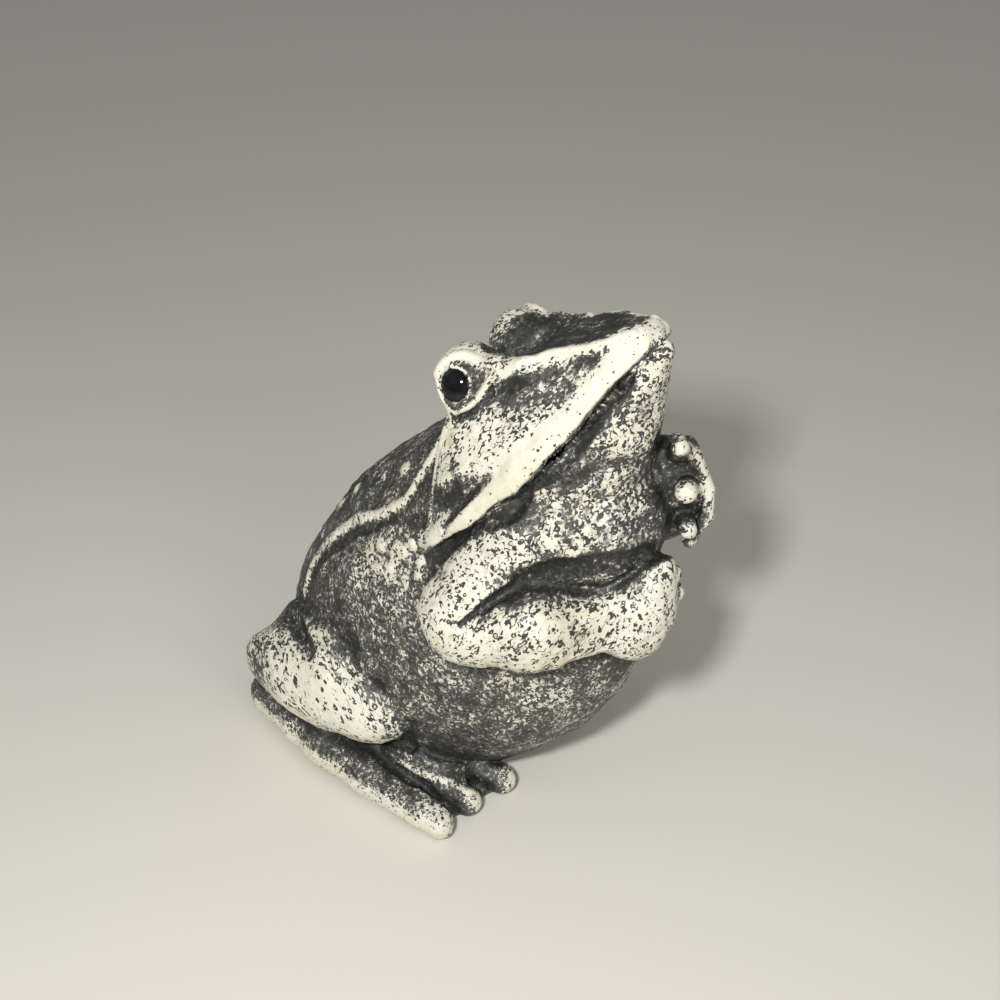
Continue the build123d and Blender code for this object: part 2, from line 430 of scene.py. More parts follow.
def right_hand(p):
    d = limb(p, right_palm, soft["right palm"])
    for finger in right_fingers:
        d = smooth_min(d, limb(p, finger), soft["right finger"])
    return d


# Boxes outside which a mass needn't be worked out, by node name
reaches = {}
far_away = 15.0


def masses(p):
    """The distance to each mass on its own, by node name, and the places in the head's frame."""
    q = mirrored(p)
    h = to_head(p)
    x = p[:, 0]
    low, high = p.min(0), p.max(0)

    def near(name):
        return name not in reaches or ((reaches[name][0] < high) & (reaches[name][1] > low)).all()

    makers = {
        "torso": lambda: torso(p),
        "chest": lambda: ellipsoid(p, *chest),
        "lower_jaw": lambda: lower_jaw(h),
        "head": lambda: head(h),
    }
    paired = {
        "upper_arm": lambda: limb(q, upper_arm),
        "thigh": lambda: limb(q, thigh, soft["bend"]),
        "calf": lambda: ellipsoid(q, *calf),
        "foot": lambda: foot(q),
    }
    for side, name in zip((1, -1), sides):
        paired["forearm"] = lambda name=name: limb(q, forearms[name], soft["bend"])
        for part, make in paired.items():
            makers[name + part] = lambda side=side, make=make: np.maximum(make(), side * x)
    makers["right_hand"] = lambda: right_hand(p)
    makers["left_hand"] = lambda: left_hand(p)
    nothing = np.full(len(p), far_away)
    return {name: make() if near(name) else nothing for name, make in makers.items()}, h


def joined(found, h, p):
    """All masses as one: soft where flesh runs on, tight where the photograph has a crease."""
    front = smooth_min(found["chest"], found["lower_jaw"], soft["chest"])
    for side in sides:
        front = smooth_min(front, found[side + "upper_arm"], soft["upper arm"])
    whole = smooth_min(found["torso"], front, soft["front"])
    for part in ("forearm", "hand"):
        for side in sides:
            whole = smooth_min(whole, found[side + part], soft[part])
    for side in sides:
        leg = smooth_min(found[side + "thigh"], found[side + "calf"], soft["leg"])
        whole = smooth_min(whole, leg, soft["hip"])
        whole = smooth_min(whole, found[side + "foot"], soft["foot"])
    whole = smooth_min(whole, found["head"], soft["head"])
    whole = smooth_max(whole, bead_radius - bead_bite - length(h - bead_place()), soft["bead seat"])
    across, along, up = h.T
    lip, _, _, low = read(head_table, along)
    slot = np.maximum(np.abs(up - (low - lip_gap / 2)) - mouth_half_gap, lip - mouth_depth - across)
    slot = np.maximum(slot, np.maximum(mouth_start - along, along - snout_end - mouth_past))
    whole = smooth_max(whole, -slot, soft["mouth"])
    return smooth_max(whole, -p[:, 2], soft["base"])


def plain(p):
    """The masses as one casting without relief, and each mass's own field."""
    found, h = masses(p)
    return joined(found, h, p), found


# Marks: ridges, creases and warts laid on the masses. Each is a line of places, its half width,
# its height above the skin (below it if negative) and how much dark wash it holds; in the groove
# under the upper lip that darkening is painted shade.
head_marks = [
    ([(12.3, -0.4, 0.9), (12.6, 5, 0.3), (12.2, 10, 0), (11, 15.5, 0), (9.3, 21, 0.3),
      (6.9, 27, 1.1), (4.5, 32, 1.7), (2.8, 34.8, 2)], 1.6, 0.4, -0.5),
    ([(4.5, 32, 1.7), (2.8, 34.8, 2), (1.6, 36.2, 2.2), (0, 36.8, 2.3)], 1.5, 0, -0.4),
    # Groove under the upper lip's overhang, darkened with painted shade
    ([(11.4, 10, -2.9), (10.6, 15.5, -3.2), (8.8, 21, -2.9), (6.4, 27, -2), (4.2, 32, -1.1)],
     1.2, -0.5, 0.4),
    ([(7.2, 22.4, 8.8), (6.7, 24.4, 8.4), (5.4, 28.3, 7.1), (4.4, 31.8, 4.9), (3.1, 34.3, 3.6),
      (2.2, 35.6, 3)], 0.62, 0.3, -0.6),
    ([(8.4, 23, 5), (6.7, 27, 4), (5, 31, 2.9)], 1.8, -0.3, 0.1),
    ([(8.3, 22, 7.6), (7.3, 25.3, 6.3), (6.2, 28.6, 5), (5.3, 31.2, 3.7)], 1.1, -0.12, 0.42),
    ([(0, 17, 10.4), (0, 24, 8.6), (0, 31, 5.4)], 4, -0.25, 0.1),
    ([(11, 4.8, 3.6), (11.5, 8, 2.6), (11.2, 11.8, 2.2)], 1.8, -0.35, 0.34),
    ([(13, 4.4, 0.4), (12.8, 8.4, 0.9), (12.2, 11.5, 1.1), (11.4, 14.3, 1.5)], 0.75, -0.35, 0.85),
    ([(11, 10, 5), (11.6, 9.6, 3.2), (12.5, 9.4, 1.4)], 0.55, -0.2, 0.4),
    ([(10.4, 6.6, 4.9), (10.9, 9.4, 4.3), (10.8, 12, 3.9)], 0.8, 0.22, -0.2),
    ([(9, 11, 9), (9.2, 7.5, 7.6), (9.9, 4.6, 5.2), (11, 2.2, 3), (12.1, 0, 0.9)],
     0.65, 0.4, -0.5),
]
skin_marks = [
    # Fold down each side of the back, from behind the eye to the hip
    ([(-5.2, 1.6, 50.2), (-7.9, 2.6, 45.2), (-9.6, 3.6, 41.8), (-10, 6.4, 39), (-9.5, 12, 34.9),
      (-9.3, 17.6, 28.8), (-10, 20.2, 24.2), (-11.4, 20.6, 20.6)], 0.75, 0.5, -0.62),
    # Crease under that fold
    ([(-10.4, 4.8, 38.6), (-10.9, 7.4, 36.8), (-10.6, 12.2, 32.8), (-10.6, 17.4, 27),
      (-11.6, 19.6, 22)], 1, -0.4, 0.3),
    # Elbow crease and the valley above the forearm
    ([(-18.4, -11.1, 35.5), (-17.1, -12, 36.5), (-15.6, -13.1, 37.7)], 0.45, -0.45, 0.75),
    ([(-16.4, -12.6, 37), (-15.2, -13.4, 38), (-13.2, -14.8, 39.4), (-11.4, -15.9, 40.6)],
     0.85, -0.95, 0.75),
    ([(-16.8, -13, 35.9), (-14.4, -15.2, 37.3), (-12, -17.6, 38.6)], 1.7, 0, 0.22),
    ([(-12.4, -15.2, 40), (-9.6, -19, 41.4), (-7.4, -22, 41.9), (-4.1, -24, 41.7),
      (-0.6, -25.6, 41.2)], 1.9, -0.85, 0.8),
    # Throat crease
    ([(-9, -17.4, 50.6), (-7.9, -19.8, 52.1), (-6.2, -22.2, 53.2), (-2, -23.6, 52.6)],
     1.6, -0.35, 0.25),
    # Notch between thigh and calf
    ([(-14.6, 20.2, 18.8), (-16.4, 16.8, 18.9), (-18.2, 13.4, 18.4)], 1.4, -1.1, 0.7),
    # Webs, the ridges of the toes and the pale outer edge of the sole
    ([(-17.4, -8.4, 2.2), (-17.4, -2, 3.2), (-17.6, 4, 4.6)], 1.1, -0.75, 0.45),
    ([(-11.8, -9.2, 2.2), (-12.9, -2, 3.6), (-14.6, 4, 5.8)], 1.2, -0.75, 0.45),
    ([(-14.5, -8.8, 3.7), (-15.3, -3.4, 4.4), (-16.4, 2, 5.2)], 0.7, 0.3, -0.55),
    ([(-9, -9.8, 3.8), (-10.6, -4.6, 4.8), (-12.4, 0.4, 6.6)], 0.8, 0.25, -0.1),
    ([(-17.8, 24, 3.4), (-20.4, 16, 3), (-21.6, 6, 2.6), (-21.6, -2, 2.2),
      (-21.2, -8.2, 2)], 2, 0, -0.66),
]
# Larger warts: place, radius, height
warts = [
    ((-12.1, 5.6, 35.2), 1.15, 0.32), ((-12.6, 2.1, 36), 1, 0.3), ((-12.3, 0.7, 37.4), 0.8, 0.28),
    ((-12.9, -0.9, 36.1), 0.9, 0.28), ((-13.4, -1.1, 34.4), 0.8, 0.25),
    ((-13.2, 3.6, 33.4), 0.7, 0.22), ((-5.5, 18.1, 32.3), 1.3, 0.3), ((-7, 5.8, 43.3), 1.1, 0.3),
    ((-5.1, 15.8, 35.4), 1.2, 0.25), ((-10.3, -17.2, 44.3), 0.9, 0.28),
    ((-6.4, 9.6, 40.6), 0.8, 0.22), ((-3.2, 12.4, 39.6), 0.9, 0.22), ((-6.6, 20.8, 27.2), 1, 0.25),
    ((-2.4, 21.4, 28.4), 0.9, 0.22), ((-4.4, 24.6, 21.4), 1, 0.25), ((-1.4, 7.4, 44.6), 0.8, 0.2),
]
wart_wash = -0.8
# Serrations under the fold: place from its line, scatter, radii, height, wash
serration = ((-0.52, -0.1, -0.46), 0.16, (0.4, 0.75), 0.26, -0.5)
# Small warts: number, lowest and highest place, height; then what they share
small_warts = [
    (60, (-17, -6, 20), (-11, 16, 38), 0.12),
    (46, (-9, 4, 20), (0, 27, 45), 0.14),
    (26, (-12, -24, 42), (-3, -12, 53), 0.1),
]
small_wart_radii = (0.45, 0.85)
wart_spread = (0.6, 1.3)
small_wart_wash = -0.12
# Uneven skin: wavelength and height of each set of waves, and how many ways each set runs
wave_sets = ((6, 0.2), (2.6, 0.09), (1.3, 0.045))
wave_ways = 12
wave_spread = (0.8, 1.25)
wave_gain = 2.2
random = np.random.default_rng(7)


def on_to(function, points, rounds=2, probe=0.06, least=0.25, most=0.4):
    """Points moved on to the zero surface of a field."""
    for _ in range(rounds):
        value = function(points)
        steep = np.stack([function(points + probe * way) - value for way in np.eye(3)], 1) / probe
        move = steep * (value / np.maximum((steep * steep).sum(1), least))[:, None]
        far = np.maximum(length(move) / most, 1)
        points = points - move / far[:, None]
    return points


def settle(places):
    """Places moved on to the skin of the masses, before any relief."""
    return on_to(lambda p: plain(p)[0], np.array(places, float), 6, 0.1, 0.2, np.inf)


def filled(points, spacing=0.9, steps=8):
    """A line of places with more of them between its corners, on a smooth curve."""
    points = np.array(points, float)
    runs = np.linalg.norm(np.diff(points, axis=0), axis=1)
    key = np.concatenate([[0], np.cumsum(runs)])
    table = dense(np.column_stack([key, points]), steps)
    count = max(2, int(key[-1] / spacing) + 1)
    return np.stack(read(table, np.linspace(0, key[-1], count)), 1)


def line_distance(p, points):
    """Distance from a line through the points."""
    if len(points) == 1:
        return length(p - points[0])
    found = np.full(len(p), np.inf)
    for start, end in zip(points, points[1:]):
        way = end - start
        share = np.clip((p - start) @ way / max(way @ way, tiny), 0, 1)
        found = np.minimum(found, length(p - start - share[:, None] * way))
    return found


marks = []
for points, half, height, tone_shift in head_marks:
    marks.append((settle(filled([from_head(point) for point in points])), half, height, tone_shift))
for points, half, height, tone_shift in skin_marks:
    marks.append((settle(filled(points)), half, height, tone_shift))
for place, half, height in warts:
    marks.append((settle([place]), half, height, wart_wash))
fold = marks[len(head_marks)][0]
offset, scatter, radii, height, tone_shift = serration
for point in fold[2:]:
    place = settle([point + offset + random.normal(0, scatter, 3)])
    marks.append((place, random.uniform(*radii), height, tone_shift))
for count, low, high, height in small_warts:
    for place in settle(random.uniform(low, high, (count, 3))):
        half = random.uniform(*small_wart_radii)
        marks.append((place[None], half, height * random.uniform(*wart_spread), small_wart_wash))
marks = [(*mark, mark[0].min(0) - mark[1], mark[0].max(0) + mark[1]) for mark in marks]
waves = []
for wavelength, amount in wave_sets:
    ways = random.normal(0, 1, (wave_ways, 3))
    steep = (2 * math.pi / wavelength / np.linalg.norm(ways, axis=1))[:, None]
    ways *= steep * random.uniform(*wave_spread, (wave_ways, 1))
    waves.append((ways, random.uniform(0, 2 * math.pi, wave_ways), amount))
# The skin lies calm round the eye (how far to the fore, reach, fade) and on the left hand (radii,
# where the calm ends as a share of them, the least relief)
calm_eye = (0.6, 3.4, 1.5)
calm_hand = ((5, 5, 9), 0.6, 0.15)
relief_reach = 2.5
base_fade = 1.5


def relief(p):
    """Height of the marks and the modelling of the skin over the masses, and the wash they hold,
    with painted shade under the upper lip.
    """
    q = mirrored(p)
    order = np.argsort(q[:, 1])
    q = q[order]
    height = np.zeros(len(p))
    tone_shift = np.zeros(len(p))
    for points, half, raised, mark_tone, low, high in marks:
        start, end = np.searchsorted(q[:, 1], (low[1], high[1]))
        slab = q[start:end]
        x, z = slab[:, 0], slab[:, 2]
        near = np.nonzero((x > low[0]) & (x < high[0]) & (z > low[2]) & (z < high[2]))[0]
        if not len(near):
            continue
        share = np.clip(1 - (line_distance(slab[near], points) / half) ** 2, 0, 1)
        height[start + near] += raised * share**2
        tone_shift[start + near] += mark_tone * share
    back = np.empty_like(order)
    back[order] = np.arange(len(order))
    height, tone_shift = height[back], tone_shift[back]
    for ways, shifts, amount in waves:
        height += amount * np.sin(p @ ways.T + shifts).mean(1) * wave_gain
    fore, up, out = eye_frame(to_head(p))
    calm = np.clip((np.hypot(fore - calm_eye[0], up) - calm_eye[1]) / calm_eye[2], 0, 1)
    from_hand = length((p - np.array(left_web[0])) / calm_hand[0])
    calm *= np.clip(from_hand - calm_hand[1], calm_hand[2], 1)
    return height * calm, tone_shift


def figure(p):
    """The finished casting's distance field, and each mass's own."""
    whole, found = plain(p)
    near = np.nonzero(np.abs(whole) < relief_reach)[0]
    height, _ = relief(p[near])
    whole[near] -= height * np.clip(p[near, 2] / base_fade, 0, 1)
    whole[near] = np.maximum(whole[near], -p[near, 2])
    return whole, found


far_margin = 6.0
names = ["torso", "chest", "lower_jaw", "head"]
for part in ("upper_arm", "forearm", "hand", "thigh", "calf", "foot"):
    names += [side + part for side in sides]
for name in names:
    low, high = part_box(name)
    reaches[name] = np.array(low) / metres - far_margin, np.array(high) / metres + far_margin
# How far a mass runs in under its neighbour, and how fast it sinks there
overlap = 0.25
sink = 0.5


def piece_field(name, work_out, p):
    """The field of one mass, run in under its neighbours, and how far past the seam it is."""
    whole, found = work_out(p)
    others = np.min([d for other, d in found.items() if other != name], axis=0)
    past = (found[name] - others) / 2
    return np.maximum(whole + sink * np.maximum(past, 0), past - overlap), past


def enlarge(values, axis):
    """A coarse grid's values, filled in evenly along one axis."""
    values = np.moveaxis(values, axis, 0)
    count = (len(values) - 1) * coarse_step + 1
    fine = np.empty((count,) + values.shape[1:], np.float32)
    for step in range(coarse_step):
        share = step / coarse_step
        fine[step:-1:coarse_step] = values[:-1] * (1 - share) + values[1:] * share
    fine[-1] = values[-1]
    return np.moveaxis(fine, 0, axis)


def surface(field, low, high, voxel):
    """Surface nets: one vertex in each crossed cell, one quad across each crossed edge."""
    counts = (np.ceil((high - low) / voxel).astype(int) // coarse_step + 1) * coarse_step + 1
    axes = [low[i] + voxel * np.arange(counts[i]) for i in range(3)]
    rough_axes = [axis[::coarse_step] for axis in axes]
    grid = np.stack(np.meshgrid(*rough_axes, indexing="ij"), -1)
    values = field(grid.reshape(-1, 3)).reshape(grid.shape[:3]).astype(np.float32)
    for axis in range(3):
        values = enlarge(values, axis)
    near = np.nonzero(np.abs(values) < voxel * coarse_step * band_share)
    points = np.stack([axes[i][near[i]] for i in range(3)], 1)
    values[near] = field(points)
    inside = values < 0
    cell_shape = np.array(values.shape) - 1
    corners = list(np.ndindex(2, 2, 2))
    filled_corners = np.zeros(cell_shape, np.uint8)
    for i, j, k in corners:
        filled_corners += inside[i:i + cell_shape[0], j:j + cell_shape[1], k:k + cell_shape[2]]
    cells = np.stack(np.nonzero((filled_corners > 0) & (filled_corners < 8)), 1)
    index = -np.ones(cell_shape, np.int64)
    index[tuple(cells.T)] = np.arange(len(cells))
    corner_values = np.stack([values[tuple((cells + corner).T)] for corner in corners], 1)
    total = np.zeros((len(cells), 3))
    crossings = np.zeros(len(cells))
    for a in range(8):
        for b in range(a + 1, 8):
            step = np.subtract(corners[b], corners[a])
            if np.abs(step).sum() != 1:
                continue
            va, vb = corner_values[:, a], corner_values[:, b]
            crossed = (va < 0) != (vb < 0)
            share = np.where(crossed, va / np.where(crossed, va - vb, 1), 0)
            total += (np.array(corners[a]) + share[:, None] * step) * crossed[:, None]
            crossings += crossed
    vertices = low + voxel * (cells + total / crossings[:, None])
    quads = []
    for axis in range(3):
        u, v = (axis + 1) % 3, (axis + 2) % 3
        here = [slice(1, -1)] * 3
        there = [slice(1, -1)] * 3
        here[axis], there[axis] = slice(0, -1), slice(1, None)
        a, b = inside[tuple(here)], inside[tuple(there)]
        edges = np.stack(np.nonzero(a != b), 1)
        entering = a[tuple(edges.T)]
        ring = []
        for du, dv in ((0, 0), (1, 0), (1, 1), (0, 1)):
            cell = edges.copy()
            cell[:, u] += du
            cell[:, v] += dv
            ring.append(index[tuple(cell.T)])
        quad = np.stack(ring, 1)
        quad[~entering] = quad[~entering][:, ::-1]
        quads.append(quad)
    return vertices, np.concatenate(quads)


def slope(function, points, reach=0.08):
    ahead = [function(points + step) for step in reach * np.eye(3)]
    behind = [function(points - step) for step in reach * np.eye(3)]
    return (np.stack(ahead, 1) - np.stack(behind, 1)) / (2 * reach)


def casting(p):
    return figure(p)[0]


# How far the skin is felt, outward for hollows and inward for proud places, and each one's weight
hollow_reaches = ((0.5, 0.28), (1.1, 0.28), (2.2, 0.24), (4, 0.2))
proud_reaches = ((-0.5, 0.5), (-1.2, 0.5))


def shut_in(points, normals, reaches):
    """How near other skin lies along the normals: 0 off a flat face, 1 in a crease or an edge."""
    total = np.ones(len(points))
    for reach, weight in reaches:
        total -= weight * np.clip(casting(points + normals * reach) / reach, 0, 1)
    return total


# Where wash was left or wiped off, with painted shade on the left palm and the calf's outer end:
# the level of each mass, then patches: place, reach, amount
levels = {
    "torso": 0.84, "chest": 0.64, "head": 0.43, "lower_jaw": 0.55, "upper_arm": 0.38,
    # Left hand: dark wash with painted shade over its palm and inner web
    "forearm": 0.41, "hand": 0.42, "left_hand": 0.82, "thigh": 0.44, "calf": 0.3, "foot": 0.78,
}
head_patches = [
    ((0, 22, 10), (4.6, 9, 3.6), 0.5),
    ((0, 31, 6), (3.2, 5, 2.4), 0.4),
    ((7.8, 21.5, 7), (1.8, 3.2, 2.2), 0.5),
    ((12.1, 8.4, 1.4), (1.8, 3.2, 1.6), 0.26),
    ((7, 26.7, 3), (1.6, 3, 1.5), 0.46),
    ((9.4, 19.5, 3.4), (2, 3, 1.6), 0.22),
    ((10.8, 15, 1.6), (3.2, 6, 2.4), -0.46),
    ((11.4, 7, 3), (2.4, 3.6, 2), 0.22),
    ((6.5, 30, -2), (3, 4, 3), -0.1),
]
body_patches = [
    ((-13, 3, 34), (3.4, 6.5, 5), -0.36),
    ((-14.2, -15.6, 38), (1.9, 2.6, 1.7), 0.42),
    ((-10.4, -19.4, 38.4), (3.2, 3, 1.5), 0.34),
    ((-15.5, -2, 28), (3, 6, 8), -0.1),
    ((-11, -14, 23), (6, 6, 5), -0.24),
    ((-2, 14, 36), (7, 14, 12), 0.16),
    ((-8, -18.5, 46), (4, 4, 5), -0.1),
    ((-16, 22, 16), (4, 5, 5), 0.22),
    # A darker tone with painted shade on the calf's outer back end
    ((-20.4, 21.6, 14), (2.6, 3.4, 4.4), 0.36),
    ((-6.5, -19.5, 19), (6, 5, 5), -0.12),
    ((-13.6, 21, 19), (2.6, 3, 2.6), 0.45),
    ((-13, -1, 4.5), (4.5, 8, 4), 0.22),
    ((-19.8, -8.6, 2.5), (1.8, 2.6, 2.4), -0.55),
    ((-14.2, -9.8, 2.6), (1.2, 1.5, 1.6), -0.7),
    ((-8.4, -10.8, 2.5), (1.4, 2, 2.2), -0.6),
]
# The same on the left hand alone
hand_patches = [
    ((1.8, -26.3, 54.2), (1.4, 1.2, 1.2), -0.75),
    ((1.4, -27.6, 48.8), (1.5, 1.6, 1.5), -0.9),
    ((2, -28, 43.3), (1.4, 1.4, 1.2), -0.6),
    ((5.4, -27.4, 47), (1.6, 1.6, 0.9), -0.5),
]
# Dark crown: its half width along the head, its level, how its side, low edge and ends fade
crown_edge = [
    (14, 1), (17.5, 2.2), (20.5, 5.8), (24.5, 5.9),
    (28.3, 4.7), (31.8, 3.6), (34.3, 2.3), (36.5, 0.8),
]
crown_wash = 0.95
crown_fade = 0.7
crown_share = 0.45
crown_rise = 0.8
crown_start = (15, 2)
crown_end = (36, 1)
# Wash in the corner where the trunk meets a limb
corner_wash = 0.45
corner_reach = 1.5
corner_jaw_share = 0.5
limb_kinds = ("arm", "forearm", "thigh", "calf", "foot")
# Wash in the eye opening and under the lid, what was wiped off the lids and left rim, and a painted
# reflection on the bezel
socket_wash = 0.86
under_lid_wash = 0.55
lid_wipe = 0.85
ring_painted_reflection = 0.5
rim_wipe = 0.5
eye_depth = 0.8
# Wash for a full hollow, how hollow open skin is, and what is wiped off a proud place
hollow_wash = 0.75
open_hollow = 0.1
proud_wipe = 0.35
seam_fade = 0.7


def band(distance, reach, fade):
    """1 near by and 0 far off: the fade ends at reach times fade."""
    return np.clip(reach - distance / fade, 0, 1)


def crown_mask(h):
    """The face of the crown between the ridges that run from the eyes to the snout."""
    across, along, up = h.T
    edge = np.interp(along, *zip(*crown_edge))
    _, _, top, low = read(head_table, along)
    mask = np.clip((edge - across) / crown_fade + 0.5, 0, 1)
    mask = mask * np.clip((up - low - crown_share * (top - low)) / crown_rise, 0, 1)
    mask = mask * np.clip((along - crown_start[0]) / crown_start[1], 0, 1)
    return mask * np.clip((crown_end[0] - along) / crown_end[1], 0, 1)


def wash_and_painted_light(points, normals):
    """How much dark wash each place holds, with painted shade and a painted reflection in a few
    places, from 0, wiped clean, to 1.
    """
    found, h = masses(points)
    near = np.stack([found[name] for name in names], 1)
    near = np.exp(-(near - near.min(1)[:, None]) / seam_fade)
    near /= near.sum(1)[:, None]
    kinds = [name if name in levels else name.split("_", 1)[-1] for name in names]
    level = near @ np.array([levels[kind] for kind in kinds])
    both = mirrored(points)
    for patches, places in ((head_patches, h), (body_patches, both), (hand_patches, points)):
        for place, reach, amount in patches:
            level += amount * np.exp(-(((places - place) / reach) ** 2).sum(1))
    limbs = np.min([found[name] for name in names if name.split("_")[-1] in limb_kinds], axis=0)
    on = dict(zip(names, near.T))
    trunk = on["torso"] + on["chest"] + corner_jaw_share * on["lower_jaw"]
    level += corner_wash * trunk * np.exp(-np.maximum(limbs, 0) / corner_reach)
    level += corner_wash * on["torso"] * np.exp(-np.maximum(found["head"], 0) / corner_reach)
    rim = line_distance(points, np.array([place for place, _ in left_rim]))
    level -= rim_wipe * band(rim, 1.5, 0.8) * on["left_hand"]
    _, tone_shift = relief(points)
    level += tone_shift + hollow_wash * (shut_in(points, normals, hollow_reaches) - open_hollow)
    level -= proud_wipe * shut_in(points, normals, proud_reaches)
    fore, up, out = eye_frame(h)
    edge = opening(fore, up)
    round_eye = band(np.abs(out), 2, eye_depth)
    turn = lid_turn(fore, up)
    wide = lid_radius(turn)
    level += under_lid_wash * band(np.abs(edge - 0.85), 1.5, groove_half) * round_eye * (1 - turn)
    level += (crown_wash - level) * crown_mask(h)
    level *= 1 - lid_wipe * band(np.abs(edge - wide), 2, wide) * round_eye
    inside_eye = band(edge, 0.3, 0.15) * round_eye
    level = level * (1 - inside_eye) + socket_wash * inside_eye
    from_ring, q = bezel(h)
    # Painted reflection: the fore half of the bezel round the bead is drawn paler
    level -= ring_painted_reflection * band(from_ring, 2, bead_ring[2]) * np.clip(q @ eye_fore, 0, 1)
    return np.clip(level, 0, 1)


# How the texture lies on some pieces: the way in which it is drawn out, how far, how coarse
drawn_out = {
    "head": (mouth_way, 1.8, 1),
    "lower_jaw": (mouth_way, 1.2, 1.15),
    "chest": ((0.3, -0.5, 0.6), 1.15, 1.25),
    "calf": ((0.1, 0.75, 0.65), 1.9, 1.3),
    "thigh": ((0.1, 0.75, 0.65), 1.8, 1.2),
    "upper_arm": ((0.4, 0.3, -0.85), 1.9, 1.2),
    "forearm": ((0.6, -0.5, 0.6), 1.7, 1.2),
    "hand": ((0, -0.2, 1), 1.3, 1.15),
    "torso": ((0, 0.3, 1), 1.1, 1.15),
}


def grain(points, kind):
    """Places for the texture, squeezed along the way in which it is drawn out."""
    if kind not in drawn_out:
        return points
    way, longer, coarse = drawn_out[kind]
    way = np.array(way) / np.linalg.norm(way)
    return (points - np.outer(points @ way, way) * (1 - 1 / longer)) / coarse


def linked(name, data):
    made = bpy.data.objects.new(name, data)
    bpy.context.scene.collection.objects.link(made)
    return made


def add_piece(name, vertices, faces, material, node):
    """A piece that stands for a node of the frame."""
    mesh = bpy.data.meshes.new(name)
    mesh.from_pydata((vertices * metres).tolist(), [], faces)
    mesh.update()
    mesh.shade_smooth()
    mesh.materials.append(material)
    piece = linked(name, mesh)
    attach(piece, "root")
    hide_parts(node)
    return mesh


def store(mesh, name, kind, values):
    attribute = mesh.attributes.new(name, kind, "POINT")
    key = "value" if kind == "FLOAT" else "vector"
    attribute.data.foreach_set(key, values.astype(np.float32).ravel())


class Graph:
    """Short hand for building a material's nodes."""

    def __init__(self, name):
        self.material = bpy.data.materials.new(name)
        self.material.use_nodes = True
        self.tree = self.material.node_tree
        self.tree.nodes.clear()

    def put(self, socket, value):
        if isinstance(value, bpy.types.NodeSocket):
            self.tree.links.new(value, socket)
        else:
            socket.default_value = value

    def math(self, operation, *values):
        node = self.tree.nodes.new("ShaderNodeMath")
        node.operation = operation
        for socket, value in zip(node.inputs, values):
            self.put(socket, value)
        return node.outputs[0]

    def sum(self, *parts):
        """The sum of values, each times its weight."""
        total = 0.0
        for value, weight in parts:
            total = self.math("ADD", total, self.times(value, weight))
        return total

    def less(self, a, b):
        return self.math("SUBTRACT", a, b)

    def times(self, a, b):
        return self.math("MULTIPLY", a, b)

    def step(self, value, low, high, to_low=0, to_high=1):
        node = self.tree.nodes.new("ShaderNodeMapRange")
        node.interpolation_type = "SMOOTHSTEP"
        for socket, item in zip(node.inputs, (value, low, high, to_low, to_high)):
            self.put(socket, item)
        return node.outputs[0]

    def pushed(self, vector, scale, shift):
        node = self.tree.nodes.new("ShaderNodeVectorMath")
        node.operation = "MULTIPLY_ADD"
        for socket, value in zip(node.inputs, (vector, (scale, scale, scale), shift)):
            self.put(socket, value)
        return node.outputs[0]

    def texture(self, kind, vector, size, **values):
        """A texture node, with the size of its features and its other inputs."""
        node = self.tree.nodes.new(kind)
        self.put(node.inputs["Vector"], vector)
        node.inputs["Scale"].default_value = 1 / size
        for name, value in values.items():
            node.inputs[name].default_value = value
        return node

    def noise(self, vector, size, detail, rough, shift, warp=0):
        place = self.pushed(vector, 1, (shift, shift * 1.7, shift * 0.6))
        node = self.texture(
            "ShaderNodeTexNoise", place, size, Detail=detail, Roughness=rough, Distortion=warp
        )
        return node.outputs["Fac"]

    def swing(self, *choices):
        """Noise that swings either side of nought."""
        return self.less(self.noise(*choices), 0.5)

    def spots(self, vector, size, shift):
        """Distance from the middle of the nearest of many spots, and a chance for each spot."""
        place = self.pushed(vector, 1, (shift, -shift, shift * 1.3))
        node = self.texture("ShaderNodeTexVoronoi", place, size)
        parts = self.tree.nodes.new("ShaderNodeSeparateColor")
        self.put(parts.inputs[0], node.outputs["Color"])
        return node.outputs["Distance"], parts.outputs[0]

    def warped(self, vector, size, amount):
        """Places pushed about by a noise, so that spots aren't round."""
        node = self.texture("ShaderNodeTexNoise", vector, size, Detail=1.0)
        back = self.pushed(vector, 1, (-amount, -amount, -amount))
        return self.pushed(node.outputs["Color"], 2 * amount, back)

    def mix(self, share, a, b):
        node = self.tree.nodes.new("ShaderNodeMix")
        node.data_type = "RGBA"
        self.put(node.inputs["Factor"], share)
        self.put(node.inputs[6], a)
        self.put(node.inputs[7], b)
        return node.outputs[2]

    def attribute(self, name, output):
        node = self.tree.nodes.new("ShaderNodeAttribute")
        node.attribute_name = name
        return node.outputs[output]

    def finish(self, colour, rough, gloss):
        """The shader and the material's output."""
        shader = self.tree.nodes.new("ShaderNodeBsdfPrincipled")
        self.put(shader.inputs["Base Color"], colour)
        self.put(shader.inputs["Roughness"], rough)
        shader.inputs["Specular IOR Level"].default_value = gloss
        output = self.tree.nodes.new("ShaderNodeOutputMaterial")
        self.tree.links.new(shader.outputs[0], output.inputs[0])
        return shader


cream = (0.78, 0.755, 0.63, 1)
warm_cream = (0.7, 0.63, 0.45, 1)
pale_grey = (0.42, 0.42, 0.39, 1)
film = (0.036, 0.036, 0.035, 1)
charcoal = (0.007, 0.007, 0.008, 1)
bead_black = (0.004, 0.004, 0.005, 1)
bead_smear = (0.01, 0.01, 0.012, 1)
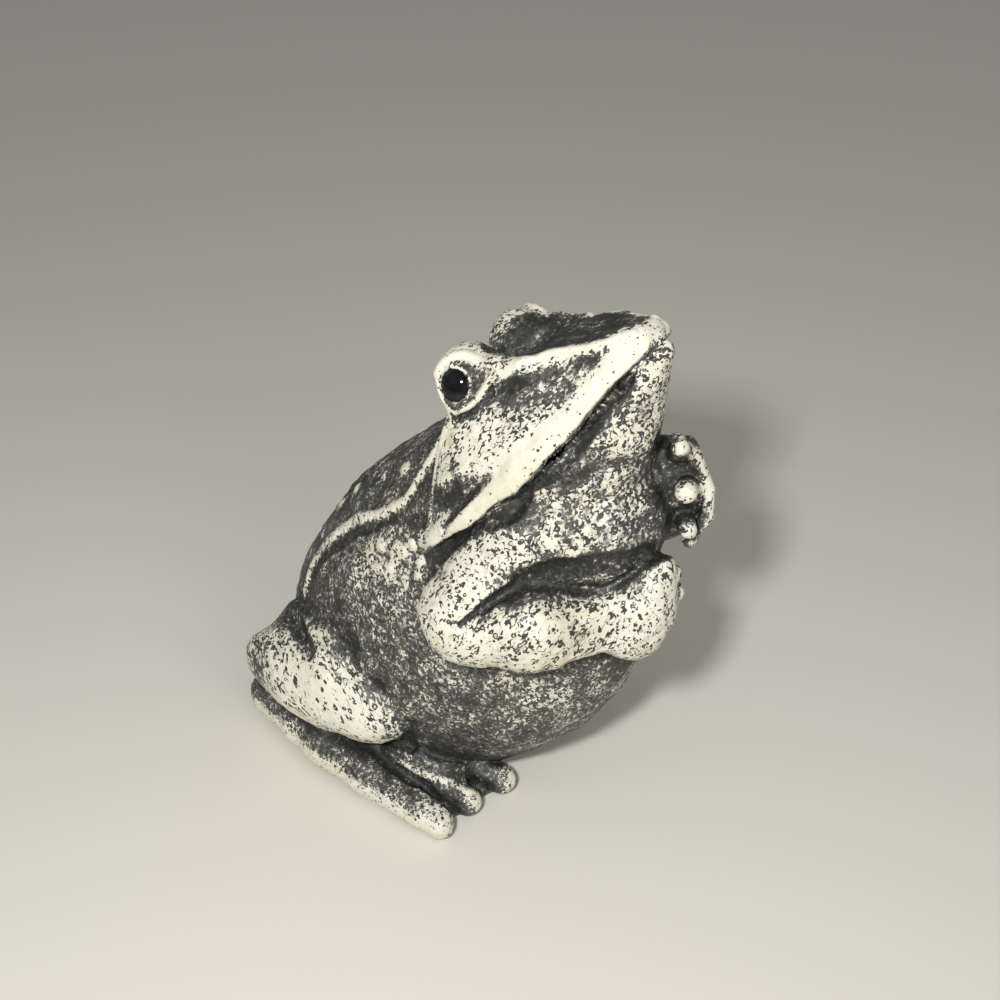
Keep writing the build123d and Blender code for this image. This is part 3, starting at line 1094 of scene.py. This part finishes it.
# Noises: size in millimetres, detail, roughness, shift and warp
noises = {
    "crowd": (2.6, 3, 0.62, 23), "fine": (0.26, 1, 0.6, 9), "speckle": (0.5, 2, 0.65, 55),
    "stroke": (0.52, 1, 0.45, 3, 0.5), "gate": (0.48, 1, 0.5, 41), "warmth": (7, 2, 0.5, 5),
    "smear": (1.6, 3, 0.6, 2),
}
# Spots: size and shift; and the size and push of the noise that warps them
pit_spots = (0.44, 12)
ring_spots = (0.66, 31)
spot_warp = (0.55, 0.22)
ring_radius = 0.25
stone_rough = 0.4
# How wide each feature is drawn: how far its luck counts beside the wash, where it sets in and is
# widest, and its widest
widths = {
    "pit": (1.5, 0.1, 1.1, 0.42), "ring": (1.5, 0.62, 0.8, 0.085),
    "stroke": (1.9, 0.18, 0.9, 0.115),
}
# Where each layer sets in and is whole, and then what it runs from and to, if not 0 and 1
fades = {
    "pit": (-0.02, 0.07), "stroke": (-0.004, 0.012), "ring": (-0.02, 0.03),
    "middle": (0.2, 0.28, 1, 0), "ringed": (0, 0.08), "haze": (0.2, 0.66), "veil": (0.5, 0.92),
    "deep": (0.78, 1.1), "warmth": (0.45, 0.7, 0, 0.45), "dark": (0, 1, 0.94, 0.62),
    "smear": (0.4, 0.7), "smear rough": (0.45, 0.75, 0.05, 0.13),
}
bump_strength = 0.6
bump_depth = 0.1
stone_gloss = 0.36
bead_gloss = 0.35


def cast_stone():
    g = Graph("cast_stone")
    # Wash level, which also carries painted shade and a painted reflection in places
    wash_and_light_level = g.attribute("wash_and_painted_light", "Fac")
    straight = g.attribute("grain", "Vector")
    place = g.warped(straight, *spot_warp)
    crowd = g.swing(straight, *noises["crowd"])
    fine = g.swing(straight, *noises["fine"])
    speckle = g.swing(place, *noises["speckle"])
    pull = g.sum((wash_and_light_level, 1), (crowd, 0.55))

    def width(kind, luck):
        """How wide a feature is, by its own luck, and wider where more wash was left and where
        shade is painted.
        """
        spread, low, high, widest = widths[kind]
        return g.step(g.sum((pull, 1), (g.less(luck, 0.5), spread)), low, high, 0, widest)

    # Round pits, each filled or not
    pit, pit_luck = g.spots(place, *pit_spots)
    pits = g.less(width("pit", pit_luck), pit)
    # Ringlets: a dark ring with a grey middle
    ring, ring_luck = g.spots(place, *ring_spots)
    ring_width = width("ring", ring_luck)
    rings = g.less(ring_width, g.math("ABSOLUTE", g.less(ring, ring_radius)))
    middle = g.times(g.step(ring, *fades["middle"]), g.step(ring_width, *fades["ringed"]))
    # Curled strokes that join the pits
    line = g.math("ABSOLUTE", g.swing(straight, *noises["stroke"]))
    gate = g.noise(straight, *noises["gate"])
    strokes = g.less(width("stroke", gate), line)
    dark = g.math("MAXIMUM", g.step(pits, *fades["pit"]), g.step(strokes, *fades["stroke"]))
    dark = g.math("MAXIMUM", dark, g.step(rings, *fades["ring"]))
    # A grey film lies over the skin between the pits, first in patches and then all over
    film_level = g.sum((wash_and_light_level, 1), (crowd, 1.25), (speckle, 1.25))
    haze = g.step(film_level, *fades["haze"])
    veil = g.step(film_level, *fades["veil"])
    deep = g.step(g.sum((wash_and_light_level, 1), (speckle, 0.45), (crowd, 0.45)), *fades["deep"])
    warmth = g.step(g.noise(straight, *noises["warmth"]), *fades["warmth"])
    colour = g.mix(warmth, cream, warm_cream)
    # Where each layer lies, how much it covers there and its colour
    for share, cover, layer in (
        (haze, 0.3, pale_grey), (middle, 0.55, pale_grey), (veil, 0.9, film),
        (dark, g.step(veil, *fades["dark"]), charcoal), (deep, 0.7, charcoal),
    ):
        colour = g.mix(g.times(share, cover), colour, layer)
    rough = g.sum((veil, 0.14), (fine, 0.22), (stone_rough, 1))
    height = g.sum((fine, 0.4), (dark, -0.6), (speckle, 0.5))
    bump = g.tree.nodes.new("ShaderNodeBump")
    bump.inputs["Strength"].default_value = bump_strength
    bump.inputs["Distance"].default_value = bump_depth * metres
    g.put(bump.inputs["Height"], height)
    shader = g.finish(colour, rough, stone_gloss)
    g.put(shader.inputs["Normal"], bump.outputs[0])
    return g.material


def bead_glass():
    g = Graph("bead_glass")
    smear = g.noise(g.attribute("grain", "Vector"), *noises["smear"])
    colour = g.mix(g.step(smear, *fades["smear"]), bead_black, bead_smear)
    g.finish(colour, g.step(smear, *fades["smear rough"]), bead_gloss)
    return g.material


stone = cast_stone()
glass = bead_glass()

# Room round a node's box for its mesh, and how far short of the seam the open skin ends
margin = 1.4
seam_margin = 0.08
for name in names:
    low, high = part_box(name)
    low = np.array(low) / metres - margin
    high = np.array(high) / metres + margin
    voxel = fineness.get(name, usual_fineness) * 1
    low[2] = max(low[2], -2 * voxel)
    rough = lambda p: piece_field(name, plain, p)[0]
    full = lambda p: piece_field(name, figure, p)[0]
    vertices, faces = surface(rough, low, high, voxel)
    vertices = on_to(full, vertices)
    shown = piece_field(name, figure, vertices)[1] < overlap - seam_margin
    normals = np.where(shown[:, None], slope(casting, vertices), slope(full, vertices))
    normals /= np.maximum(length(normals), tiny)[:, None]
    kind = name.replace("right_", "").replace("left_", "")
    mesh = add_piece("cast_" + name, vertices, faces.tolist(), stone, name)
    store(mesh, "wash_and_painted_light", "FLOAT", wash_and_painted_light(vertices, normals))
    store(mesh, "grain", "FLOAT_VECTOR", grain(vertices, kind))
    mesh.normals_split_custom_set_from_vertices(normals.tolist())

# Beads: a domed front and a flattened back where it is glued in. The profile gives the radius and
# level of each ring, and bead_back the level behind, as shares of the bead's radius
dome_steps = 24
half_turn_steps = 32
dome = [math.pi * step / half_turn_steps for step in range(1, dome_steps + 1)]
bead_profile = [(math.sin(angle), math.cos(angle)) for angle in dome]
bead_profile += [(0.62, -0.8), (0.55, -0.86), (0.3, -0.88)]
bead_back = -0.88
bead_turns = 64
for side, side_name in ((-1, "right"), (1, "left")):
    out = from_head(eye_normal, side) - jaw_corner
    centre = from_head(bead_place(), side)
    across = np.cross(out, (0, 0, 1))
    across /= np.linalg.norm(across)
    along = np.cross(out, across)
    angles = [2 * math.pi * step / bead_turns for step in range(bead_turns)]
    spokes = [across * math.cos(angle) + along * math.sin(angle) for angle in angles]
    vertices = [centre + out * bead_radius]
    for radius, level in bead_profile:
        vertices += [centre + bead_radius * (radius * spoke + level * out) for spoke in spokes]
    vertices.append(centre + out * bead_radius * bead_back)
    last_ring = 1 + (len(bead_profile) - 1) * bead_turns
    last = len(vertices) - 1
    faces = []
    for step in range(bead_turns):
        after = (step + 1) % bead_turns
        faces.append((0, 1 + after, 1 + step))
        for a in range(1, last_ring, bead_turns):
            b = a + bead_turns
            faces.append((a + step, a + after, b + after, b + step))
        faces.append((last, last_ring + step, last_ring + after))
    vertices = np.array(vertices)
    mesh = add_piece("bead_" + side_name, vertices, faces, glass, side_name + "_eye")
    store(mesh, "grain", "FLOAT_VECTOR", vertices)

# Floor, light and camera
floor_colour = (0.76, 0.735, 0.65, 1)
floor_rough = 0.85
floor_size = 3.0
world_colour = (1.0, 0.99, 0.97, 1)
world_strength = 0.265
floor_material = bpy.data.materials.new("floor")
floor_material.use_nodes = True
floor_shader = floor_material.node_tree.nodes["Principled BSDF"]
floor_shader.inputs["Base Color"].default_value = floor_colour
floor_shader.inputs["Roughness"].default_value = floor_rough
bpy.ops.mesh.primitive_plane_add(size=floor_size)
floor = bpy.context.object
floor.name = "floor"
floor.data.materials.append(floor_material)
floor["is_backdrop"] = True

bpy.context.scene.view_settings.view_transform = "Standard"
world = bpy.data.worlds.new("studio")
bpy.context.scene.world = world
world.use_nodes = True
background = world.node_tree.nodes["Background"]
background.inputs[0].default_value = world_colour
background.inputs[1].default_value = world_strength

# The camera looks from this side and height at a place that lies on one pixel of the frame
azimuth = math.radians(-54)
elevation = math.radians(35)
focal_pixels = 1400
frame_pixels = 1000
target = np.array([0, 0, 28])
target_pixel = (480, 560)
target_distance = 178
sensor_width = 36
clip = (0.01, 10)
# Lights: name, way right, up and back from the target as the camera sees it, size, power; and the
# place they are aimed at
lights = [("key", (-34, 30, 215), 20, 0.37), ("fill", (120, -20, 240), 120, 0.12)]
lit_place = np.array([0, 0, 30])

right_way = np.array([math.cos(azimuth), math.sin(azimuth), 0])
level_back = np.array([math.sin(azimuth), -math.cos(azimuth), 0])
back_way = level_back * math.cos(elevation) + np.array([0, 0, math.sin(elevation)])
ways = np.array([right_way, np.cross(back_way, right_way), back_way])
pixel = target_distance / focal_pixels
aside = (frame_pixels / 2 - target_pixel[0]) * pixel
above = (target_pixel[1] - frame_pixels / 2) * pixel
eye_place = target + (aside, above, target_distance) @ ways
camera_data = bpy.data.cameras.new("camera")
camera_data.sensor_width = sensor_width
camera_data.lens = sensor_width * focal_pixels / frame_pixels
camera_data.clip_start, camera_data.clip_end = clip
camera = linked("camera", camera_data)
rows = [[*ways[:, i], eye_place[i] * metres] for i in range(3)]
camera.matrix_world = Matrix(rows + [[0, 0, 0, 1]])
bpy.context.scene.camera = camera

for name, from_target, size, power in lights:
    place = target + from_target @ ways
    data = bpy.data.lights.new(name, "AREA")
    data.size = size * metres
    data.energy = power
    light = linked(name, data)
    light.location = place * metres
    light.rotation_mode = "QUATERNION"
    light.rotation_quaternion = Vector(lit_place - place).to_track_quat("-Z", "Y")

low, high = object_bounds()
